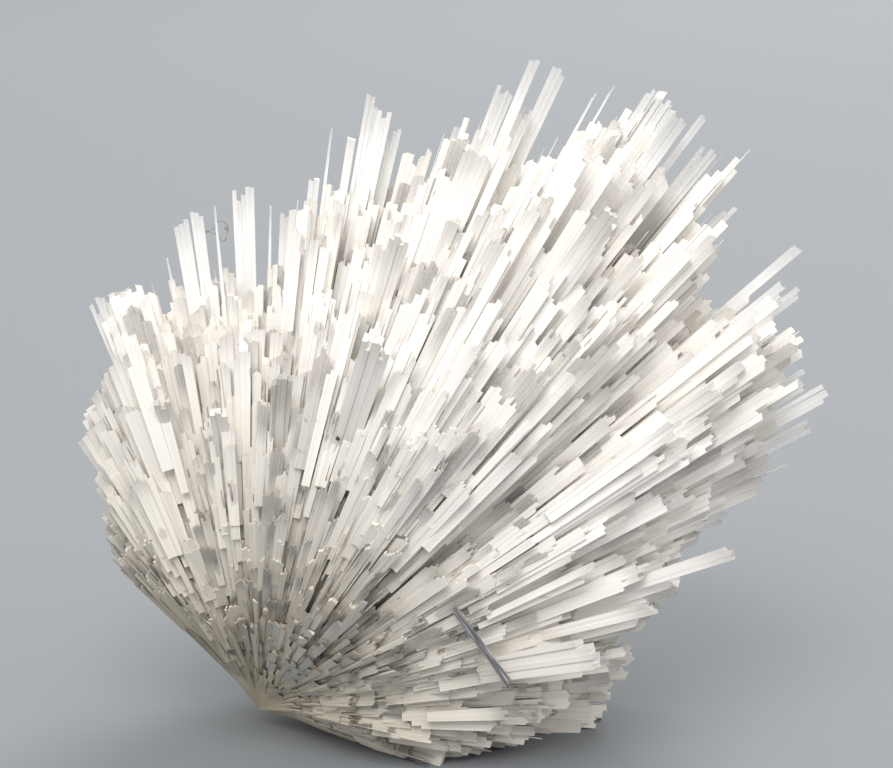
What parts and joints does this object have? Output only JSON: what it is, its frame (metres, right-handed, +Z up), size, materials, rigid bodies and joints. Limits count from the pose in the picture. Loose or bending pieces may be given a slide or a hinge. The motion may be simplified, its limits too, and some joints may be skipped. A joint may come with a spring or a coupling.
{
  "type": "scolecite specimen",
  "caption": "Fan-shaped spray of white to clear bladed scolecite crystals that radiate from one point, standing on a flat broken underside.",
  "frame": {"origin": "centre of the bounding box's underside, on the surface that the specimen stands on", "axes": "+X to the right along the widest spread of the fan, +Y away from the viewer, +Z up"},
  "size_m": [0.125, 0.0991, 0.1102],
  "materials": {
    "scolecite_white": "silky translucent white crystal, bright ends",
    "scolecite_clear": "clear grey crystal, glossy"
  },
  "bodies": {
    "root": {"scolecite_spray": "scolecite_white", "loose_needle": "scolecite_clear"}
  },
  "joints": []
}
